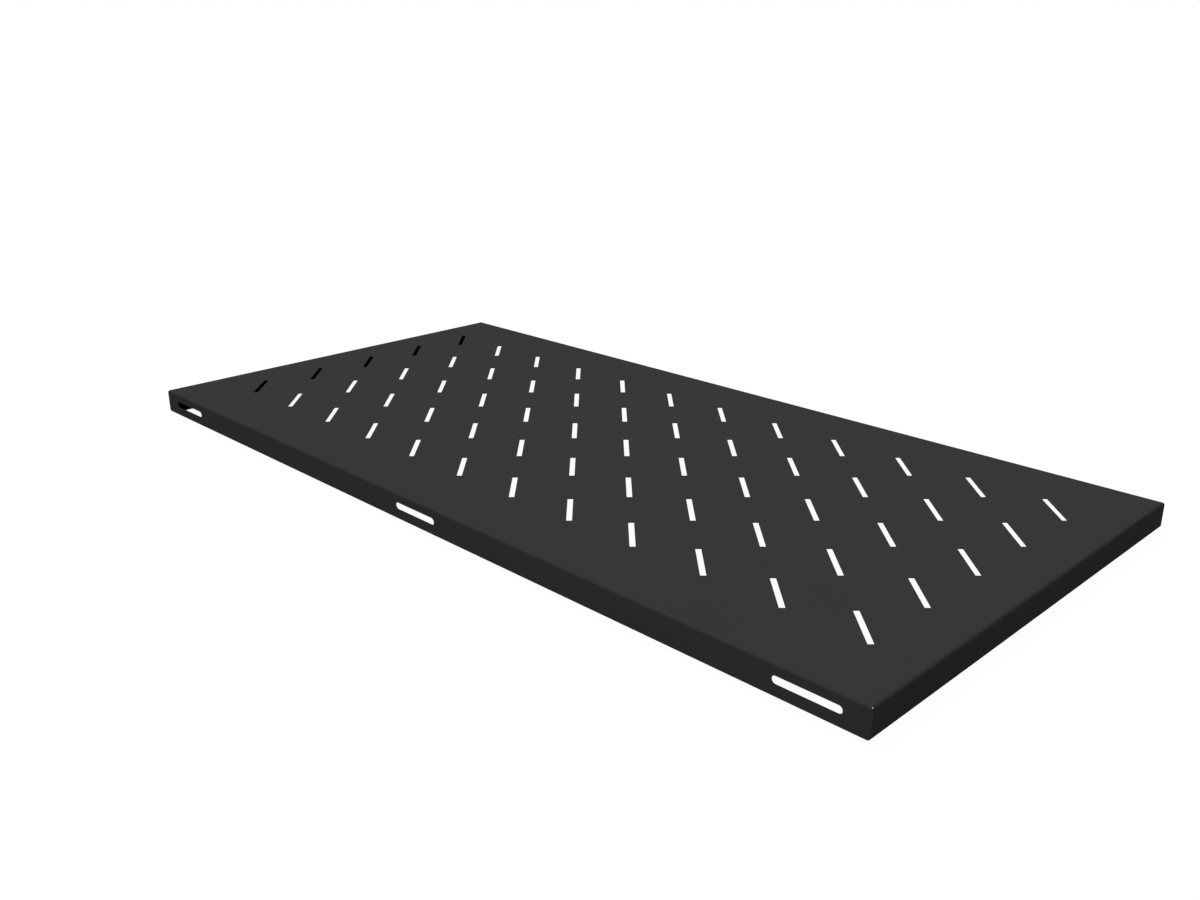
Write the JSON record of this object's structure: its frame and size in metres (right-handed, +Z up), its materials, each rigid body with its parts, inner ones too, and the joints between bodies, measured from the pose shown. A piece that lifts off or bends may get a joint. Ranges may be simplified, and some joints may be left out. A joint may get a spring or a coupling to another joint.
{
  "type": "rack shelf",
  "caption": "Flat vented rack shelf of folded sheet steel, with slanted vent slots in the panel, slotted side flanges and end flanges with a return lip.",
  "frame": {"origin": "under the middle of the shelf, in the plane of its lower edges", "axes": "+X across the rack to the right, +Y from the front to the back, +Z up"},
  "size_m": [0.47, 0.95, 0.025],
  "materials": {
    "powder_coat": "matt black powder coat, fine texture, on steel sheet"
  },
  "bodies": {
    "root": {"shelf": "powder_coat"}
  },
  "joints": []
}
